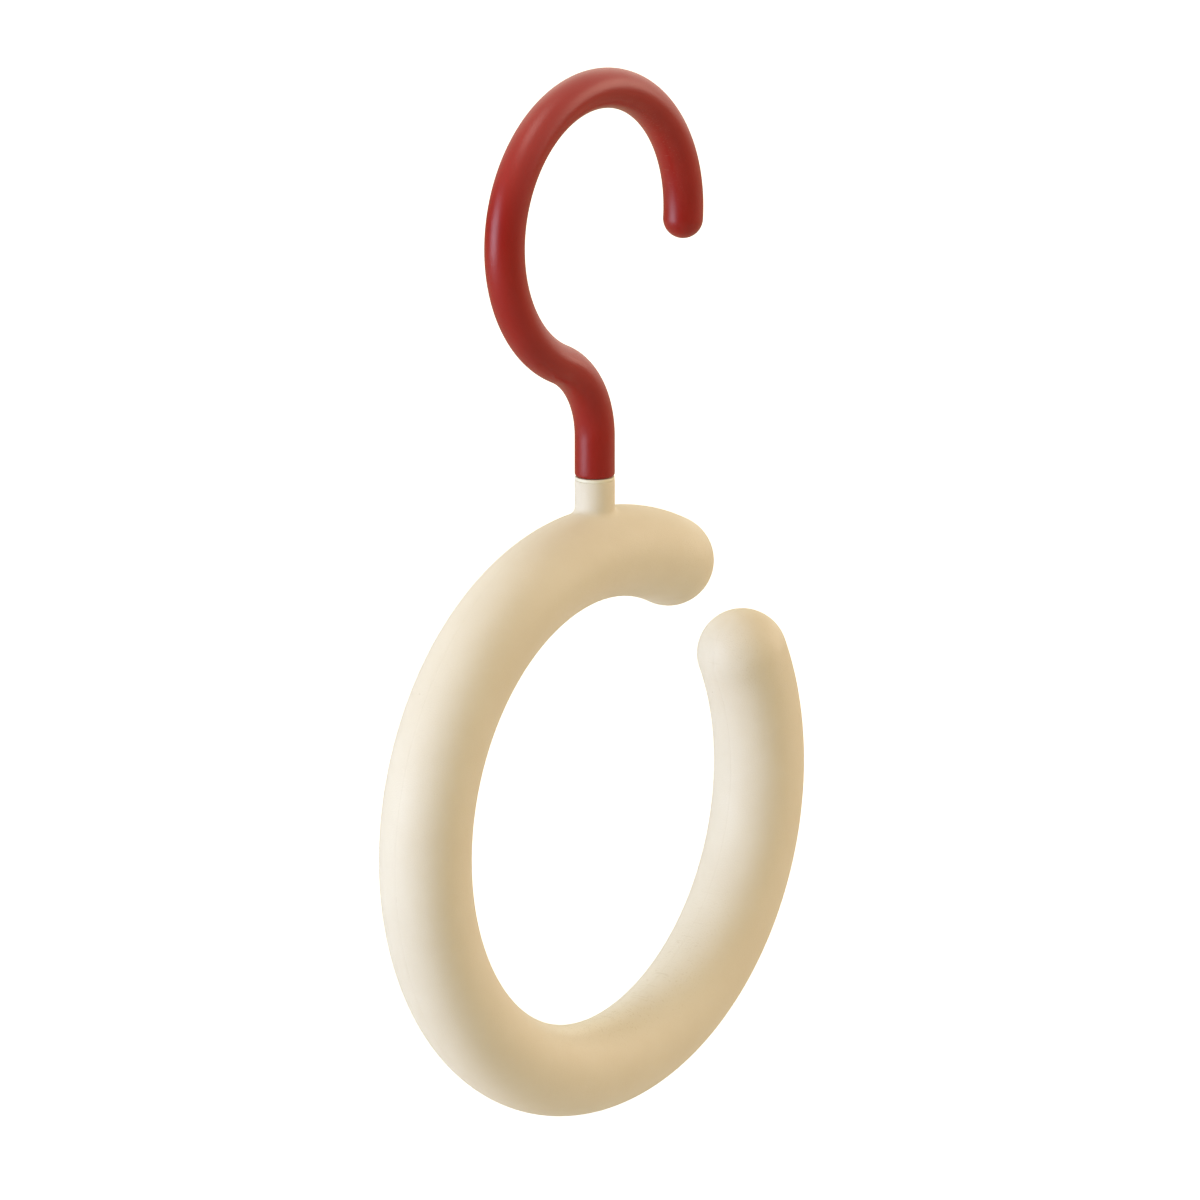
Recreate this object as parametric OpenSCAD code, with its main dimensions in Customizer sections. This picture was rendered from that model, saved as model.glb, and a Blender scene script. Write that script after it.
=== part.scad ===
// Swivel hanger: an open hollow ring that turns under a question-mark hook.
// The origin is the highest point inside the hook, where it hangs. +Z is up.
// Hook and ring lie in the XZ plane, and both open towards +X. The front is -Y.

/* [Ring] */
// Radius of the ring's centre line
ring_r = 47.9; // [42:0.1:56]
// Outer diameter of the ring's tube
tube_d = 16.7; // [15:0.1:19]
// Wall of the two ring shells
shell_wall = 2; // [1.6:0.1:2.4]
// Angle from the ring's top to the middle of its upper end
upper_end_angle = 26.2; // [22:0.1:32]
// Angle from the ring's top to the middle of its side end
side_end_angle = 63.4; // [58:0.1:76]
// Depth of the seam's tongue, which the groove follows
tongue_h = 0.8; // [0.5:0.1:1.2]
// Width of the seam's tongue
tongue_w = 0.7; // [0.5:0.05:0.8]

/* [Ring inside] */
// Number of locating pins between the two shells
pin_count = 6; // [4:1:8]
// Diameter of a locating pin
pin_d = 2; // [1.6:0.1:2.4]
// Length of a locating pin beyond the seam
pin_h = 2.6; // [2:0.1:3.4]
// Wall of the boss round a locating pin or its socket
pin_boss_wall = 1.1; // [0.8:0.1:1.4]
// Thickness of a stiffening hoop
hoop_t = 1.2; // [0.8:0.1:1.8]
// Height of a stiffening hoop from the inside of the wall
hoop_h = 1.8; // [1:0.1:2.4]

/* [Neck] */
// Height of the neck above the ring's crown
neck_h = 5.5; // [4.5:0.1:9]
// Radius of the arc that flares the neck
flare_r = 4; // [2.5:0.1:6]
// Angle at which the flare leans out to meet the ring
flare_angle = 35; // [30:1:40]

/* [Hook] */
// Outer diameter of the hook's sleeve and of the neck below it
rod_d = 7.3; // [7:0.1:8.4]
// Radius of the hook's centre line
hook_r = 25.4; // [22:0.1:32]
// Radius of the bend that brings the hook back over its stem
bend_r = 16.3; // [10:0.1:22]
// Length of the straight stem inside the sleeve
stem_h = 7.3; // [5:0.1:14]
// Angle from the hook's top to the middle of its tip
tip_angle = 95; // [80:1:110]
// Radius of the sleeve's rounded lower edge
sleeve_edge_r = 0.6; // [0.3:0.1:0.9]

/* [Swivel] */
// Diameter of the steel core
core_d = 4; // [3.4:0.1:4.2]
// Wall of the bush round the core
bush_wall = 0.6; // [0.5:0.05:0.7]
// Diameter of the bush's flange
flange_d = 8; // [7.4:0.1:8.4]
// Thickness of the bush's flange
flange_h = 0.8; // [0.6:0.1:1.2]
// Thickness of the thrust washer between hook and neck
thrust_h = 0.65; // [0.4:0.05:1]
// Outer diameter of the steel washer under the flange
stem_washer_d = 7.6; // [7:0.1:8]
// Thickness of the steel washer under the flange
stem_washer_h = 0.5; // [0.4:0.1:0.8]
// Outer diameter of the retaining clip
clip_d = 7; // [6.6:0.1:7.4]
// Thickness of the retaining clip
clip_h = 0.6; // [0.5:0.05:0.8]
// Depth of the clip's groove in the core
groove_depth = 0.4; // [0.3:0.05:0.5]
// Length of the core below the clip
core_tail = 1.4; // [1:0.1:2.4]

/* [Clearances] */
// Radial clearance of the core in its bush
run_clear = 0.05; // [0.02:0.01:0.1]
// End play of the swivel, shared by its top and its bottom
end_play = 0.1; // [0.04:0.01:0.2]
// Clearance round a piece that is pressed or moulded in
seat_clear = 0.02; // [0.01:0.01:0.04]
// Clearance round the seam's tongue and the locating pins
seam_clear = 0.05; // [0.02:0.01:0.1]

/* [Hidden] */
$fn = 96;

hook_red = [0.61, 0.15, 0.14];
ring_cream = [0.91, 0.87, 0.79];
washer_ivory = [0.96, 0.94, 0.88];
bush_natural = [0.90, 0.89, 0.84];
bright_steel = [0.74, 0.75, 0.77];
spring_steel = [0.45, 0.45, 0.47];

// How far a shape is sunk into another that it is fused with, or cut past a face
bite = 0.3;
// A ball where two stretches of tube meet is this much larger than the tube, to close the joint
ball_lap = 0.01;

rod_r = rod_d / 2;
core_r = core_d / 2;
tube_r = tube_d / 2;
hollow_r = tube_r - shell_wall;
rim_r = tube_r - shell_wall / 2;

// Heights down the swivel axis, from the seat inside the hook
hook_z = -(hook_r - rod_r);
bend_drop = sqrt(hook_r * hook_r + 2 * hook_r * bend_r);
bend_z = hook_z - bend_drop;
sleeve_end_z = bend_z - stem_h;
thrust_top_z = sleeve_end_z - end_play / 2;
neck_top_z = thrust_top_z - thrust_h;
crown_z = neck_top_z - neck_h;
ring_z = crown_z - tube_r - ring_r;

// The flange hangs just low enough in the round hollow to clear its walls
flange_r = flange_d / 2;
flange_clear = 0.25;
pocket_r = flange_r + flange_clear;
boss_z = ring_z + ring_r + sqrt(hollow_r * hollow_r - pocket_r * pocket_r);
flange_z = boss_z - flange_h;
stem_washer_z = flange_z - end_play / 2 - stem_washer_h;
clip_z = stem_washer_z - clip_h;
core_end_z = clip_z - core_tail;

bush_bore_r = core_r + run_clear;
bush_r = bush_bore_r + bush_wall;
boss_wall = 2.5;
boss_r = bush_r + boss_wall;
groove_r = core_r - groove_depth;
groove_play = 0.1;
core_chamfer = 0.4;

// The bend's arc and the hook's arc meet where both have this direction
join_angle = atan(bend_drop / bend_r);
hook_start = 90 - tip_angle;
hook_sweep = 180 + join_angle - hook_start;

// The ring runs from its upper end round by the left and the bottom to its side end
ring_start = 90 - upper_end_angle;
ring_sweep = 360 - side_end_angle + upper_end_angle;

// The seam's tongue stops short of the neck's boss, and of the planes where the domed ends begin
seam_margin = 1;
neck_break = asin((boss_r + seam_margin) / (ring_r + rim_r));
seam_gap = 0.6;
path_break = asin(seam_gap / ring_r);
dome_break = asin(seam_gap / rim_r);

// Pins are spread evenly over the long side of the ring, with a stiffening hoop between each two
neck_pin_gap = 20;
end_pin_gap = 12;
pin_first = 90 + neck_pin_gap;
pin_last = ring_start + ring_sweep - end_pin_gap;
pin_step = (pin_last - pin_first) / (pin_count - 1);
long_pins = [for (i = [0:pin_count - 1]) pin_first + i * pin_step];
long_hoops = [for (i = [0:pin_count - 2]) pin_first + (i + 0.5) * pin_step];

// A hoop stands on each side of the neck, and one more pin in the short arm
neck_hoops = [90 - 2 * neck_break, 90 + 2 * neck_break];
arm_pin = (ring_start + neck_hoops[0]) / 2;
pin_angles = concat([arm_pin], long_pins);
hoop_angles = concat(neck_hoops, long_hoops);
pin_boss_r = pin_d / 2 + seam_clear + pin_boss_wall;
socket_extra = 0.3;

// Profiles

module quarter_disc(r) {
  intersection() {
    circle(r);
    square(r);
  }
}

module disc_upper(r) {
  intersection() {
    circle(r);
    translate([-r, 0]) square([2 * r, r]);
  }
}

module washer_profile(inner_r, outer_r, h) {
  translate([inner_r, 0]) square([outer_r - inner_r, h]);
}

// Places what is drawn along a ring's radius at an angle round the ring's own axis
module at_ring_angle(angle) {
  rotate([0, 0, angle]) translate([ring_r, 0, 0]) children();
}

// Turns a shape drawn flat round Z upright, so that its +Z faces the front
module upright(z) {
  translate([0, 0, z]) rotate([90, 0, 0]) children();
}

// The half of a ball above Z 0
module half_ball(r) {
  rotate_extrude() quarter_disc(r);
}

// Hook

// The bent form of hook and stem at a radius: a large arc, a bend and a straight foot
module bent_rod(r, foot_h) {
  upright(hook_z) {
    rotate_extrude(angle = hook_sweep, start = hook_start) translate([hook_r, 0]) circle(r);
    rotate([0, 0, hook_start + hook_sweep]) translate([hook_r, 0, 0]) sphere(r + ball_lap);
  }
  translate([-bend_r, 0, 0])
    upright(bend_z)
      rotate_extrude(angle = join_angle) translate([bend_r, 0]) circle(r);
  translate([0, 0, bend_z - foot_h]) cylinder(r = r, h = foot_h);
}

// What is left of a sharp corner outside its rounding, turned round the stem
module edge_waste() {
  difference() {
    translate([rod_r - sleeve_edge_r, -bite]) square(sleeve_edge_r + bite);
    translate([rod_r - sleeve_edge_r, sleeve_edge_r]) circle(sleeve_edge_r);
    translate([rod_r - sleeve_edge_r, sleeve_edge_r]) square(sleeve_edge_r + bite);
  }
}

module hook_sleeve() {
  color(hook_red)
    difference() {
      union() {
        bent_rod(rod_r, stem_h);
        upright(hook_z) rotate([0, 0, hook_start]) translate([hook_r, 0, 0]) sphere(rod_r + ball_lap);
      }
      bent_rod(core_r + seat_clear, stem_h + bite);
      translate([0, 0, sleeve_end_z]) rotate_extrude() edge_waste();
    }
}

module hook_core() {
  groove_h = clip_h + groove_play;
  color(bright_steel)
    difference() {
      bent_rod(core_r, bend_z - core_end_z);
      translate([0, 0, clip_z]) rotate_extrude() washer_profile(groove_r, core_r + bite, groove_h);
      translate([0, 0, core_end_z])
        rotate_extrude()
          polygon([[core_r - core_chamfer, 0], [core_r, core_chamfer], [core_r + bite, -bite]]);
    }
}

// Swivel

module thrust_washer() {
  rim_step = 0.05;
  color(washer_ivory)
    translate([0, 0, neck_top_z])
      rotate_extrude() washer_profile(bush_bore_r, rod_r - rim_step, thrust_h);
}

module neck_bush() {
  top_drop = 0.1;
  color(bush_natural)
    translate([0, 0, flange_z])
      rotate_extrude() {
        washer_profile(bush_bore_r, flange_r, flange_h);
        washer_profile(bush_bore_r, bush_r, neck_top_z - flange_z - top_drop);
      }
}

module stem_washer() {
  color(bright_steel)
    translate([0, 0, stem_washer_z])
      rotate_extrude() washer_profile(bush_bore_r, stem_washer_d / 2, stem_washer_h);
}

// A sprung E: three pads grip the groove, two pockets lie between them, and one side is open
module retaining_clip() {
  pocket_depth = 0.75;
  mouth_share = 0.85;
  mouth_w = mouth_share * 2 * groove_r;
  pocket_from = 40;
  pocket_to = 80;
  color(spring_steel)
    translate([0, 0, clip_z])
      linear_extrude(clip_h)
        difference() {
          circle(clip_d / 2);
          circle(groove_r + seat_clear);
          translate([0, -mouth_w / 2]) square([clip_d, mouth_w]);
          for (side = [-1, 1])
            intersection() {
              circle(groove_r + pocket_depth);
              polygon([
                [0, 0],
                [-clip_d * cos(pocket_from), side * clip_d * sin(pocket_from)],
                [-clip_d * cos(pocket_to), side * clip_d * sin(pocket_to)]
              ]);
            }
        }
}

// Ring

// Half of the ring's round tube with its two domed ends, on the front side
module half_tube(r) {
  rotate_extrude(angle = ring_sweep, start = ring_start) translate([ring_r, 0]) disc_upper(r);
  for (angle = [ring_start, ring_start + ring_sweep]) at_ring_angle(angle) half_ball(r + ball_lap);
}

// The space inside the shells
module hollow() {
  rotate_extrude(angle = ring_sweep, start = ring_start) translate([ring_r, 0]) circle(hollow_r);
  for (angle = [ring_start, ring_start + ring_sweep]) at_ring_angle(angle) sphere(hollow_r + ball_lap);
}

// The neck's outline from its axis, with a flare that leans out to the tube's flanks
module neck_profile() {
  crown_sink = 0.15;
  wall_sink = 0.7;
  flare_z = crown_z - crown_sink;
  flare_edge = rod_r + flare_r * (1 - cos(flare_angle));
  arc_z = flare_z + flare_r * sin(flare_angle);
  foot_z = ring_z + ring_r + hollow_r - wall_sink;
  foot_r = flare_edge + (flare_z - foot_z) * tan(flare_angle);
  difference() {
    polygon([
      [0, foot_z], [foot_r, foot_z], [flare_edge, flare_z],
      [rod_r, arc_z], [rod_r, neck_top_z], [0, neck_top_z]
    ]);
    translate([rod_r + flare_r, arc_z]) circle(flare_r);
  }
}

// Turns a profile through the front half, from the seam to the seam
module front_half() {
  rotate_extrude(angle = 180, start = 180) children();
}

// Short bodies of rectangular section that follow the seam in the middle of the wall, with gaps
module seam_path(w, z_low, z_high) {
  h = z_high - z_low;
  path_from = ring_start + path_break;
  path_to = ring_start + ring_sweep - path_break;
  dome_sweep = 180 - 2 * dome_break;
  rotate_extrude(angle = 90 - neck_break - path_from, start = path_from)
    translate([ring_r + rim_r - w / 2, z_low]) square([w, h]);
  rotate_extrude(angle = path_to - 90 - neck_break, start = 90 + neck_break)
    translate([ring_r + rim_r - w / 2, z_low]) square([w, h]);
  rotate_extrude(angle = path_to - path_from, start = path_from)
    translate([ring_r - rim_r - w / 2, z_low]) square([w, h]);
  at_ring_angle(ring_start)
    rotate_extrude(angle = dome_sweep, start = 180 + dome_break)
      translate([rim_r - w / 2, z_low]) square([w, h]);
  at_ring_angle(ring_start + ring_sweep)
    rotate_extrude(angle = dome_sweep, start = dome_break)
      translate([rim_r - w / 2, z_low]) square([w, h]);
}

// A low rib that follows the inside of the wall across the tube
module hoop(angle) {
  sweep = hoop_t / ring_r * 180 / PI;
  rotate_extrude(angle = sweep, start = angle - sweep / 2)
    translate([ring_r, 0])
      difference() {
        disc_upper(hollow_r + bite);
        circle(hollow_r - hoop_h);
      }
}

// What both shells have: half the tube, half the neck, the bush's boss, pin bosses and hoops
module shell_blank() {
  difference() {
    union() {
      difference() {
        union() {
          upright(ring_z) half_tube(tube_r);
          front_half() neck_profile();
        }
        upright(ring_z) hollow();
      }
      front_half() translate([0, boss_z]) square([boss_r, ring_z + ring_r + hollow_r + bite - boss_z]);
      upright(ring_z) {
        for (angle = pin_angles)
          at_ring_angle(angle) cylinder(r = pin_boss_r, h = hollow_r + bite);
        for (angle = hoop_angles) hoop(angle);
      }
    }
    translate([0, 0, boss_z - bite])
      cylinder(r = bush_r + seat_clear, h = neck_top_z - boss_z + 2 * bite);
  }
}

module ring_front_shell() {
  color(ring_cream) {
    shell_blank();
    upright(ring_z) {
      seam_path(tongue_w, -tongue_h, bite);
      for (angle = pin_angles)
        at_ring_angle(angle) translate([0, 0, -pin_h]) cylinder(d = pin_d, h = pin_h + bite);
    }
  }
}

module ring_rear_shell() {
  socket_r = pin_d / 2 + seam_clear;
  color(ring_cream)
    mirror([0, 1, 0])
      difference() {
        shell_blank();
        upright(ring_z) {
          seam_path(tongue_w + 2 * seam_clear, -bite, tongue_h + 2 * seam_clear);
          for (angle = pin_angles)
            at_ring_angle(angle)
              translate([0, 0, -bite]) cylinder(r = socket_r, h = pin_h + socket_extra + bite);
        }
      }
}

hook_core();
hook_sleeve();
thrust_washer();
neck_bush();
stem_washer();
retaining_clip();
ring_front_shell();
ring_rear_shell();
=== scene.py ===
"""A hanger: a hook moulded over a steel core, and a thick open ring that turns under it.

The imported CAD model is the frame. The hook's sleeve, the thrust washer and the two shells of the
ring are made here as numpy surfaces, and the hardware inside keeps its CAD form and gets a finish.
Sizes are in millimetres and become metres where a mesh is made. The origin is the highest point
inside the hook, +Z is up, and hook and ring lie in the XZ plane.
"""

import logging
import math
from dataclasses import dataclass
from enum import Enum

import bmesh
import bpy
import numpy as np
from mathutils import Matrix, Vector


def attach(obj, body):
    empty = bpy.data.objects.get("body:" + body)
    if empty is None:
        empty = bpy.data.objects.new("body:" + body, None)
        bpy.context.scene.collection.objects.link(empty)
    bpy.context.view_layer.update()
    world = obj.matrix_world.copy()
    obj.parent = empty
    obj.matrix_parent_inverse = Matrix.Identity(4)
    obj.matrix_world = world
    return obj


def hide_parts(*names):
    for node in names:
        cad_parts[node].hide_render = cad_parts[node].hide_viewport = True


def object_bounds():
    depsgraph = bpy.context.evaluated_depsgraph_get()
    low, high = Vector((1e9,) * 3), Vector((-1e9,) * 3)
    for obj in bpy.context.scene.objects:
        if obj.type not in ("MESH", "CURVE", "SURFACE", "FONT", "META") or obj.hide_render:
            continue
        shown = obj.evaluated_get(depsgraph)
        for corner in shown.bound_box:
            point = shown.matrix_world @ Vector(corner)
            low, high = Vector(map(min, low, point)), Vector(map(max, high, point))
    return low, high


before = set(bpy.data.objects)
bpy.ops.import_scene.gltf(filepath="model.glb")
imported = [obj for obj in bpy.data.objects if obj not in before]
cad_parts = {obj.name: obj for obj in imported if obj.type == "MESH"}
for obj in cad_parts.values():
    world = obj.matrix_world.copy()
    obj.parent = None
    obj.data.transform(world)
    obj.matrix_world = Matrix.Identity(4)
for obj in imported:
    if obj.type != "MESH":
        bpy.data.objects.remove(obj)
CAD_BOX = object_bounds()

LOG = logging.getLogger("hanger")
MM = 0.001
WELD_MM = 0.001
TINY = 1e-6
WHITE = (1.0, 1.0, 1.0)


class Side(Enum):
    """The two shells of the ring, by the direction in which their depth grows along Y."""

    FRONT = -1.0
    REAR = 1.0


class Slot(Enum):
    """The record's material slots."""

    RED = "red_plastic"
    CREAM = "cream_plastic"
    IVORY = "ivory_acetal"
    NYLON = "natural_nylon"
    BRIGHT = "bright_steel"
    SPRING = "spring_steel"


class Surface:
    """Collects grids of points, in millimetres, and welds them into one closed mesh."""

    def __init__(self) -> None:
        """Starts with no points."""
        self.points: list[np.ndarray] = []
        self.quads: list[np.ndarray] = []
        self.count = 0

    def add(self, grid: np.ndarray, wrap: bool = False) -> None:
        """Adds a grid of points.

        Quad (i, j) joins the points (i, j), (i, j + 1), (i + 1, j + 1) and (i + 1, j).

        Args:
            grid: Points as an array of rows by columns by 3.
            wrap: Whether the last column joins the first.
        """
        rows, cols = grid.shape[:2]
        index = np.arange(rows * cols).reshape(rows, cols) + self.count
        if wrap:
            index = np.concatenate([index, index[:, :1]], axis=1)
        quads = np.stack([index[:-1, :-1], index[:-1, 1:], index[1:, 1:], index[1:, :-1]], -1)
        self.points.append(grid.reshape(-1, 3))
        self.quads.append(quads.reshape(-1, 4))
        self.count += rows * cols

    def build(self, name: str, crease_deg: float) -> bpy.types.Object:
        """Makes the object, with coincident points welded and faces turned outwards.

        Args:
            name: The piece's name.
            crease_deg: Edges that fold more than this stay sharp.

        Returns:
            The object, at the origin.
        """
        points = np.concatenate(self.points) * MM
        quads = np.concatenate(self.quads).astype(np.int32)
        mesh = bpy.data.meshes.new(name)
        mesh.vertices.add(len(points))
        mesh.vertices.foreach_set("co", points.astype(np.float32).ravel())
        mesh.loops.add(quads.size)
        mesh.loops.foreach_set("vertex_index", quads.ravel())
        mesh.polygons.add(len(quads))
        mesh.polygons.foreach_set("loop_start", np.arange(0, quads.size, 4, dtype=np.int32))
        mesh.update(calc_edges=True)
        work = bmesh.new()
        work.from_mesh(mesh)
        bmesh.ops.remove_doubles(work, verts=work.verts[:], dist=WELD_MM * MM)
        bmesh.ops.dissolve_degenerate(work, edges=work.edges[:], dist=WELD_MM * MM)
        bmesh.ops.recalc_face_normals(work, faces=work.faces[:])
        open_edges = sum(1 for edge in work.edges if not edge.is_manifold)
        work.to_mesh(mesh)
        work.free()
        mesh.shade_smooth()
        mesh.set_sharp_from_angle(angle=math.radians(crease_deg))
        mesh.update()
        LOG.info("%s: %d faces, %d open edges", name, len(mesh.polygons), open_edges)
        return linked(name, mesh)


def linked(name: str, data: bpy.types.ID) -> bpy.types.Object:
    """Returns a new object with this mesh, camera or lamp, linked to the scene."""
    bpy.context.scene.collection.objects.link(thing := bpy.data.objects.new(name, data))
    return thing


def vertex_places(piece: bpy.types.Object) -> np.ndarray:
    """Reads a piece's vertices.

    Args:
        piece: The mesh object.

    Returns:
        Points in millimetres, as an array of n by 3.
    """
    flat = np.empty(len(piece.data.vertices) * 3, np.float32)
    piece.data.vertices.foreach_get("co", flat)
    return flat.reshape(-1, 3).astype(float) / MM


def soft_step(value: np.ndarray, low: float, high: float) -> np.ndarray:
    """Returns 0 below low, 1 above high, and a smooth cubic between them."""
    share = np.clip((value - low) / (high - low), 0, 1)
    return share * share * (3 - 2 * share)


# Finishes


class Graph:
    """A node tree with short ways to add a node, set its inputs and link it."""

    def __init__(self, tree: bpy.types.NodeTree) -> None:
        """Keeps the tree and empties it."""
        self.tree = tree
        tree.nodes.clear()

    def add(self, kind: str, inputs: dict | None = None, **settings: object) -> bpy.types.Node:
        """Adds a node.

        Args:
            kind: The node's type name, without its ShaderNode prefix.
            inputs: Values or sockets, by input name or number; a colour has three values.
            settings: Properties of the node.

        Returns:
            The new node.
        """
        full = kind if kind.startswith("Node") else "ShaderNode" + kind
        node = self.tree.nodes.new(full)
        for name, value in settings.items():
            setattr(node, name, value)
        for name, value in (inputs or {}).items():
            socket = node.inputs[name]
            if isinstance(value, bpy.types.NodeSocket):
                self.tree.links.new(value, socket)
            else:
                is_colour = socket.type == "RGBA"
                socket.default_value = (*value, 1.0) if is_colour else value
        return node

    def value(self, kind: str, inputs: dict, **settings: object) -> bpy.types.NodeSocket:
        """Adds a node and returns its first output."""
        return self.add(kind, inputs, **settings).outputs[0]

    def math(self, operation: str, *values: object, clamp: bool = False) -> bpy.types.NodeSocket:
        """Returns the result of a Math node on one to three values or sockets."""
        return self.value("Math", dict(enumerate(values)), operation=operation, use_clamp=clamp)

    def remap(self, value: object, low: float, high: float, to: tuple = (0.0, 1.0)) -> object:
        """Returns value moved from the span low to high on to another span, clamped."""
        return self.value("MapRange", dict(enumerate((value, low, high, *to))))

    def noise(self, vector: object, scale: object, detail: float, rough: float = 0.5) -> object:
        """Returns the value of a noise texture, about 0.5 on average."""
        inputs = {"Vector": vector, "Scale": scale, "Detail": detail, "Roughness": rough}
        return self.value("TexNoise", inputs)

    def mix(self, share: object, first: object, second: object) -> bpy.types.NodeSocket:
        """Returns the mix of two colours."""
        inputs = {0: share, 6: first, 7: second}
        return self.add("Mix", inputs, data_type="RGBA").outputs[2]

    def seen(self) -> bpy.types.NodeSocket:
        """Returns 1 for rays that come straight from the camera or through something clear."""
        rays = self.add("LightPath").outputs
        return self.math("MAXIMUM", rays["Is Camera Ray"], rays["Is Transmission Ray"])


def new_material(name: str) -> tuple[bpy.types.Material, Graph]:
    """Makes a material.

    Args:
        name: The material's name.

    Returns:
        The material, and the graph of its empty node tree.
    """
    material = bpy.data.materials.new(name)
    material.use_nodes = True
    return material, Graph(material.node_tree)


class EffectGroup:
    """A shader node group that several finishes share, with named inputs and outputs."""

    def __init__(self, name: str, inputs: dict[str, object], outputs: list[str]) -> None:
        """Makes the empty group.

        Args:
            name: The group's name.
            inputs: Default values by input name; None stands for a vector.
            outputs: Names of the outputs, all plain values.
        """
        self.tree = bpy.data.node_groups.new(name, "ShaderNodeTree")
        self.graph = Graph(self.tree)
        for label, default in inputs.items():
            kind = "NodeSocketVector" if default is None else "NodeSocketFloat"
            socket = self.tree.interface.new_socket(label, in_out="INPUT", socket_type=kind)
            if default is not None:
                socket.default_value = default
        for label in outputs:
            self.tree.interface.new_socket(label, in_out="OUTPUT", socket_type="NodeSocketFloat")
        self.entry = self.graph.add("NodeGroupInput").outputs
        self.exit = self.graph.add("NodeGroupOutput")

    def give(self, label: str, value: bpy.types.NodeSocket) -> None:
        """Links a socket to one of the group's outputs."""
        self.tree.links.new(value, self.exit.inputs[label])

    def place(self, graph: Graph, **inputs: object) -> bpy.types.NodeOutputs:
        """Places the group in a material and returns its outputs; _ stands for a space."""
        named = {name.replace("_", " "): value for name, value in inputs.items()}
        return graph.add("Group", named, node_tree=self.tree).outputs


def mould_texture() -> EffectGroup:
    """Builds the skin of a moulded part: a fine grain on a slow unevenness.

    Returns:
        A group with Height, from 0 to 1, and Patch, a slow mask of duller and glossier areas.
    """
    patches_per_wave = 0.32
    group = EffectGroup(
        "mould texture",
        {"Vector": None, "Grain per m": 3600.0, "Wave per m": 260.0, "Grain share": 0.5},
        ["Height", "Patch"],
    )
    graph, entry = group.graph, group.entry
    place = entry["Vector"]
    grain = graph.noise(place, entry["Grain per m"], detail=3.0, rough=0.62)
    wave = graph.noise(place, entry["Wave per m"], detail=2.0, rough=0.4)
    grain_part = graph.math("MULTIPLY", grain, entry["Grain share"])
    wave_share = graph.math("SUBTRACT", 1.0, entry["Grain share"])
    group.give("Height", graph.math("MULTIPLY_ADD", wave, wave_share, grain_part))
    patch_scale = graph.math("MULTIPLY", entry["Wave per m"], patches_per_wave)
    patch = graph.noise(place, patch_scale, detail=4.0, rough=0.55)
    group.give("Patch", graph.remap(patch, low=0.36, high=0.64))
    return group


def handling_marks() -> EffectGroup:
    """Builds the marks of use: places rubbed smooth, and hairline scratches in them.

    The scratches run about along Y, the way in which hook and ring slide over what they touch.
    They are the peaks of a noise that is stretched that way.

    Returns:
        A group with Rubbed and Scratch, masks from 0 to 1.
    """
    cloud_per_m, ragged = 420.0, 0.9
    slant, stretch = (0.1, 0.06, 0.3), (1.0, 0.03, 1.0)
    inputs = {"Vector": None, "Rub": 0.0, "Scratch per m": 4800.0}
    group = EffectGroup("handling marks", inputs, ["Rubbed", "Scratch"])
    graph, entry = group.graph, group.entry
    place = entry["Vector"]
    cloud = graph.noise(place, cloud_per_m, detail=5.0, rough=0.6)
    uneven = graph.math("MULTIPLY_ADD", cloud, ragged, -ragged / 2)
    edge = graph.math("ADD", entry["Rub"], uneven)
    group.give("Rubbed", graph.remap(edge, low=0.25, high=0.85))
    along = graph.value("Mapping", {"Vector": place, "Rotation": slant, "Scale": stretch})
    line = graph.noise(along, entry["Scratch per m"], detail=0.0)
    hair = graph.remap(line, low=0.69, high=0.75)
    group.give("Scratch", graph.math("MULTIPLY", hair, entry["Rub"]))
    return group


def fine_specks() -> EffectGroup:
    """Builds sparse specks: pigment and dust, each a fraction of a millimetre wide.

    Returns:
        A group with Speck, a mask from 0 to 1.
    """
    patch_per_m, bare_share = 85.0, 0.6
    inputs = {"Vector": None, "Cells per m": 330.0, "Size": 0.06}
    group = EffectGroup("fine specks", inputs, ["Speck"])
    graph, entry = group.graph, group.entry
    place = entry["Vector"]
    cells = graph.add("TexVoronoi", {"Vector": place, "Scale": entry["Cells per m"]})
    near = graph.math("LESS_THAN", cells.outputs["Distance"], entry["Size"])
    patch = graph.noise(place, patch_per_m, detail=1.0)
    group.give("Speck", graph.math("MULTIPLY", near, graph.math("GREATER_THAN", patch, bare_share)))
    return group


def drawn_lines() -> EffectGroup:
    """Builds the fine lines that drawing or turning leaves along a metal part.

    Returns:
        A group with Line, a height from 0 to 1, and Stain, a slow mask of duller areas.
    """
    stain_per_m = 380.0
    inputs = {"Vector": None, "Stretch": None, "Lines per m": 5200.0}
    group = EffectGroup("drawn lines", inputs, ["Line", "Stain"])
    graph, entry = group.graph, group.entry
    place = entry["Vector"]
    along = graph.value("Mapping", {"Vector": place, "Scale": entry["Stretch"]})
    group.give("Line", graph.noise(along, entry["Lines per m"], detail=3.0, rough=0.6))
    stain = graph.noise(place, stain_per_m, detail=4.0, rough=0.6)
    group.give("Stain", graph.remap(stain, low=0.42, high=0.68))
    return group


@dataclass(frozen=True)
class Effects:
    """The node groups that the finishes share."""

    texture: EffectGroup
    marks: EffectGroup
    specks: EffectGroup
    lines: EffectGroup


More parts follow.
